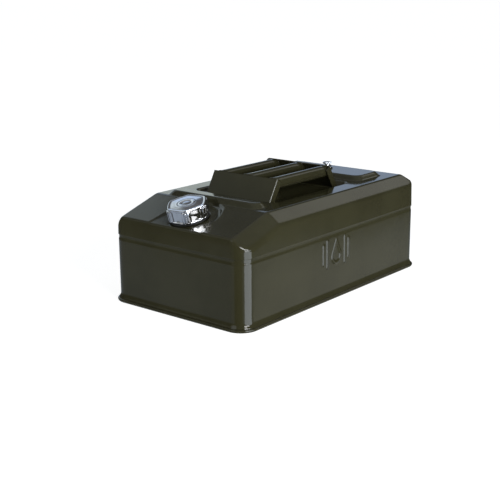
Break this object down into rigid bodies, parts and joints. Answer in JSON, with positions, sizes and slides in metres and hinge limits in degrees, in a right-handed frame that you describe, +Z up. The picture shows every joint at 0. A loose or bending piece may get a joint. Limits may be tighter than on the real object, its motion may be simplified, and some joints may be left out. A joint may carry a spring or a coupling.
{
  "type": "fuel can",
  "caption": "Flat rectangular steel fuel can with a sloped front, screw filler cap, vent screw and a fixed carrying handle with parallel bars.",
  "frame": {"origin": "on the ground under the middle of the body", "axes": "+Z up, +X along the length from the filler end to the vent end, +Y across the width"},
  "size_m": [0.612, 0.352, 0.244],
  "materials": {
    "olive_enamel": "high-gloss dark olive enamel",
    "chrome_plate": "polished chrome plating",
    "black_rubber": "matte black nitrile rubber",
    "zinc_steel": "dull zinc-plated steel"
  },
  "bodies": {
    "can": {"body_shell": "olive_enamel", "bottom_rim": "olive_enamel", "bottom_pan": "olive_enamel", "top_pan": "olive_enamel", "filler_neck": "zinc_steel", "neck_flange": "olive_enamel", "neck_collar": "black_rubber", "handle_front_bracket": "olive_enamel", "handle_rear_bracket": "olive_enamel", "handle_bar_left": "olive_enamel", "handle_bar_middle": "olive_enamel", "handle_bar_right": "olive_enamel", "handle_doubler_front": "zinc_steel", "handle_doubler_rear": "zinc_steel", "vent_boss": "chrome_plate"},
    "cap_gasket": {"cap_gasket": "black_rubber"},
    "cap_seal_plate": {"cap_seal_plate": "zinc_steel"},
    "filler_cap": {"filler_cap": "chrome_plate", "cap_thread_ring": "zinc_steel", "cap_rivet": "zinc_steel"},
    "vent_washer": {"vent_washer": "black_rubber"},
    "vent_screw": {"vent_screw": "chrome_plate"}
  },
  "joints": [
    {"name": "cap_lift_off", "type": "slide", "parent": "can", "child": "cap_gasket", "axis": [-0.2419, 0, 0.9703], "range_m": [0, 0.06]},
    {"name": "cap_thread_rise", "type": "slide", "parent": "cap_gasket", "child": "cap_seal_plate", "axis": [-0.2419, 0, 0.9703], "range_m": [0, 0.0125]},
    {"name": "cap_turn", "type": "hinge", "parent": "cap_seal_plate", "child": "filler_cap", "pos_m": [-0.25379, 0, 0.18327], "axis": [-0.2419, 0, 0.9703], "range_deg": [0, 1080]},
    {"name": "vent_rise", "type": "slide", "parent": "can", "child": "vent_washer", "axis": [0, 0, 1], "range_m": [0, 0.0025]},
    {"name": "vent_turn", "type": "hinge", "parent": "vent_washer", "child": "vent_screw", "pos_m": [0.195, 0, 0.216], "axis": [0, 0, 1], "range_deg": [0, 900]}
  ],
  "couplings": [
    {"joint": "cap_thread_rise", "follows": "cap_turn", "m_per_rad": 0.00063662},
    {"joint": "vent_turn", "follows": "vent_rise", "rad_per_m": 5026.5}
  ]
}
